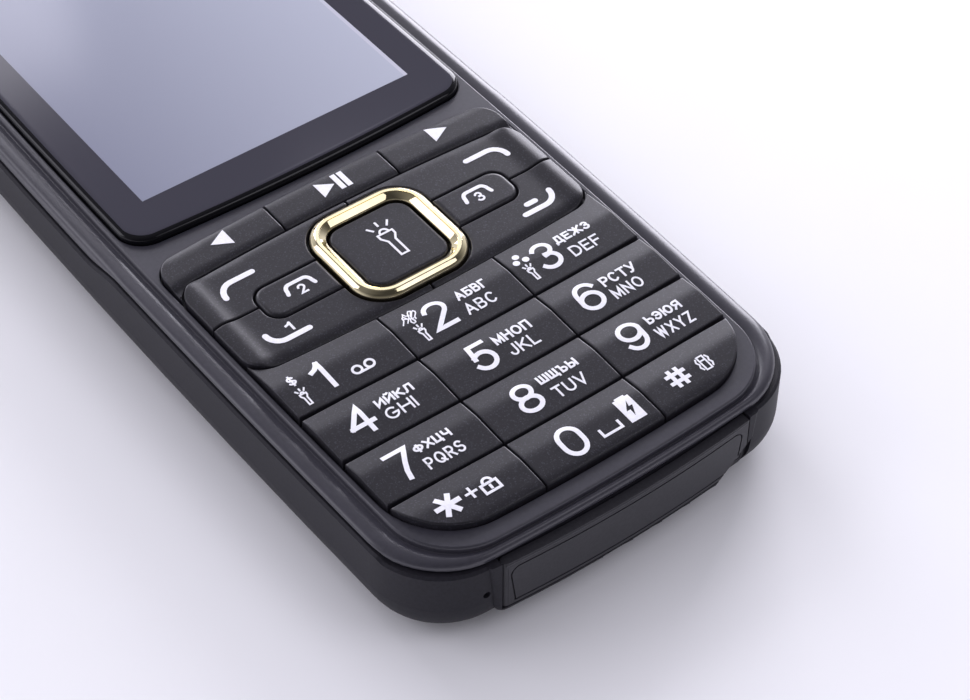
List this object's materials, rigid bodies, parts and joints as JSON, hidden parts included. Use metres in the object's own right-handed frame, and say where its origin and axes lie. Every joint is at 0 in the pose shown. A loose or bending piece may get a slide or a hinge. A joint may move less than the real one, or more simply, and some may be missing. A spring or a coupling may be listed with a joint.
{
  "type": "mobile phone",
  "caption": "Candy-bar mobile phone with a display window, a ridged number keypad, a plated navigation ring and a rubber dust flap over its sockets.",
  "frame": {"origin": "on the table under the middle of the phone, which lies on its back", "axes": "+Z out of the keys and display, +Y towards the earpiece end, +X to the right of the keypad"},
  "size_m": [0.0564, 0.133, 0.0143],
  "materials": {
    "charcoal_plastic": "soft-touch moulded ABS",
    "key_plastic": "fine-grained moulded plastic with white print",
    "plated_ring": "pale gold plated plastic",
    "flap_rubber": "moulded rubber",
    "lens_acrylic": "back-printed acrylic with a rounded edge",
    "display_glass": "unlit liquid crystal display",
    "silicone": "translucent silicone",
    "board_laminate": "fibreglass laminate",
    "tinned_steel": "tinned sheet steel",
    "gold_contact": "gold-plated spring contact",
    "black_plastic": "black moulded plastic",
    "battery_wrap": "plain grey wrap",
    "clear_plastic": "clear acrylic",
    "led_phosphor": "white light diode",
    "tungsten": "sintered tungsten weight"
  },
  "bodies": {
    "phone": {"front_housing": "charcoal_plastic", "rear_housing": "charcoal_plastic", "display_lens": "lens_acrylic", "lens_tape": "black_plastic", "lcd_module": "display_glass", "earpiece": "black_plastic", "earpiece_mesh": "tinned_steel", "keypad_mat": "silicone", "key_domes": "tinned_steel", "main_board": "board_laminate", "board_screws": "tinned_steel", "shield_cans": "tinned_steel", "usb_socket": "tinned_steel", "headset_jack": "black_plastic", "microphone": "black_plastic", "battery": "battery_wrap", "battery_contacts": "gold_contact", "sim_holders": "tinned_steel", "memory_card_slot": "tinned_steel", "housing_screws": "tinned_steel", "camera_module": "black_plastic", "camera_window": "clear_plastic", "loudspeaker": "black_plastic", "vibration_motor": "tinned_steel", "antenna": "black_plastic", "torch_lens": "clear_plastic", "torch_led": "led_phosphor"},
    "key_1": {"key_1": "key_plastic"},
    "key_2": {"key_2": "key_plastic"},
    "key_3": {"key_3": "key_plastic"},
    "key_4": {"key_4": "key_plastic"},
    "key_5": {"key_5": "key_plastic"},
    "key_6": {"key_6": "key_plastic"},
    "key_7": {"key_7": "key_plastic"},
    "key_8": {"key_8": "key_plastic"},
    "key_9": {"key_9": "key_plastic"},
    "key_star": {"key_star": "key_plastic"},
    "key_0": {"key_0": "key_plastic"},
    "key_hash": {"key_hash": "key_plastic"},
    "media_key_left": {"media_key_left": "key_plastic"},
    "media_key_play": {"media_key_play": "key_plastic"},
    "media_key_right": {"media_key_right": "key_plastic"},
    "soft_key_left": {"soft_key_left": "key_plastic"},
    "soft_key_right": {"soft_key_right": "key_plastic"},
    "call_key_sim1": {"call_key_sim1": "key_plastic"},
    "call_key_sim2": {"call_key_sim2": "key_plastic"},
    "call_key_sim3": {"call_key_sim3": "key_plastic"},
    "end_key": {"end_key": "key_plastic"},
    "centre_key": {"centre_key": "key_plastic"},
    "nav_rocker": {"nav_rocker": "silicone"},
    "nav_ring": {"nav_ring": "plated_ring"},
    "dust_flap": {"dust_flap": "flap_rubber"},
    "battery_cover": {"battery_cover": "charcoal_plastic"},
    "vibration_weight": {"vibration_weight": "tungsten"}
  },
  "joints": [
    {"name": "key_1_press", "type": "slide", "parent": "phone", "child": "key_1", "axis": [0, 0, -1], "range_m": [0, 0.00035], "stiffness_N_per_m": 1500},
    {"name": "key_2_press", "type": "slide", "parent": "phone", "child": "key_2", "axis": [0, 0, -1], "range_m": [0, 0.00035], "stiffness_N_per_m": 1500},
    {"name": "key_3_press", "type": "slide", "parent": "phone", "child": "key_3", "axis": [0, 0, -1], "range_m": [0, 0.00035], "stiffness_N_per_m": 1500},
    {"name": "key_4_press", "type": "slide", "parent": "phone", "child": "key_4", "axis": [0, 0, -1], "range_m": [0, 0.00035], "stiffness_N_per_m": 1500},
    {"name": "key_5_press", "type": "slide", "parent": "phone", "child": "key_5", "axis": [0, 0, -1], "range_m": [0, 0.00035], "stiffness_N_per_m": 1500},
    {"name": "key_6_press", "type": "slide", "parent": "phone", "child": "key_6", "axis": [0, 0, -1], "range_m": [0, 0.00035], "stiffness_N_per_m": 1500},
    {"name": "key_7_press", "type": "slide", "parent": "phone", "child": "key_7", "axis": [0, 0, -1], "range_m": [0, 0.00035], "stiffness_N_per_m": 1500},
    {"name": "key_8_press", "type": "slide", "parent": "phone", "child": "key_8", "axis": [0, 0, -1], "range_m": [0, 0.00035], "stiffness_N_per_m": 1500},
    {"name": "key_9_press", "type": "slide", "parent": "phone", "child": "key_9", "axis": [0, 0, -1], "range_m": [0, 0.00035], "stiffness_N_per_m": 1500},
    {"name": "key_star_press", "type": "slide", "parent": "phone", "child": "key_star", "axis": [0, 0, -1], "range_m": [0, 0.00035], "stiffness_N_per_m": 1500},
    {"name": "key_0_press", "type": "slide", "parent": "phone", "child": "key_0", "axis": [0, 0, -1], "range_m": [0, 0.00035], "stiffness_N_per_m": 1500},
    {"name": "key_hash_press", "type": "slide", "parent": "phone", "child": "key_hash", "axis": [0, 0, -1], "range_m": [0, 0.00035], "stiffness_N_per_m": 1500},
    {"name": "media_key_left_press", "type": "slide", "parent": "phone", "child": "media_key_left", "axis": [0, 0, -1], "range_m": [0, 0.00035], "stiffness_N_per_m": 1500},
    {"name": "media_key_play_press", "type": "slide", "parent": "phone", "child": "media_key_play", "axis": [0, 0, -1], "range_m": [0, 0.00035], "stiffness_N_per_m": 1500},
    {"name": "media_key_right_press", "type": "slide", "parent": "phone", "child": "media_key_right", "axis": [0, 0, -1], "range_m": [0, 0.00035], "stiffness_N_per_m": 1500},
    {"name": "soft_key_left_press", "type": "slide", "parent": "phone", "child": "soft_key_left", "axis": [0, 0, -1], "range_m": [0, 0.00035], "stiffness_N_per_m": 1500},
    {"name": "soft_key_right_press", "type": "slide", "parent": "phone", "child": "soft_key_right", "axis": [0, 0, -1], "range_m": [0, 0.00035], "stiffness_N_per_m": 1500},
    {"name": "call_key_sim1_press", "type": "slide", "parent": "phone", "child": "call_key_sim1", "axis": [0, 0, -1], "range_m": [0, 0.00035], "stiffness_N_per_m": 1500},
    {"name": "call_key_sim2_press", "type": "slide", "parent": "phone", "child": "call_key_sim2", "axis": [0, 0, -1], "range_m": [0, 0.00035], "stiffness_N_per_m": 1500},
    {"name": "call_key_sim3_press", "type": "slide", "parent": "phone", "child": "call_key_sim3", "axis": [0, 0, -1], "range_m": [0, 0.00035], "stiffness_N_per_m": 1500},
    {"name": "end_key_press", "type": "slide", "parent": "phone", "child": "end_key", "axis": [0, 0, -1], "range_m": [0, 0.00035], "stiffness_N_per_m": 1500},
    {"name": "centre_key_press", "type": "slide", "parent": "phone", "child": "centre_key", "axis": [0, 0, -1], "range_m": [0, 0.00035], "stiffness_N_per_m": 1500},
    {"name": "nav_rock_up_down", "type": "hinge", "parent": "phone", "child": "nav_rocker", "pos_m": [0, -0.02135, 0.01197], "axis": [1, 0, 0], "range_deg": [-1.5, 1.5], "stiffness_Nm_per_rad": 0.08},
    {"name": "nav_rock_left_right", "type": "hinge", "parent": "nav_rocker", "child": "nav_ring", "pos_m": [0, -0.02135, 0.01197], "axis": [0, 1, 0], "range_deg": [-1.5, 1.5], "stiffness_Nm_per_rad": 0.08},
    {"name": "dust_flap_hinge", "type": "hinge", "parent": "phone", "child": "dust_flap", "pos_m": [-0.0164, -0.06514, 0.0072], "axis": [0, 0, -1], "range_deg": [0, 90]},
    {"name": "battery_cover_slide", "type": "slide", "parent": "phone", "child": "battery_cover", "axis": [0, -1, 0], "range_m": [0, 0.012]},
    {"name": "vibration_weight_spin", "type": "hinge", "parent": "phone", "child": "vibration_weight", "pos_m": [-0.0175, 0.0514, 0.0066], "axis": [0, 1, 0], "continuous": true}
  ]
}
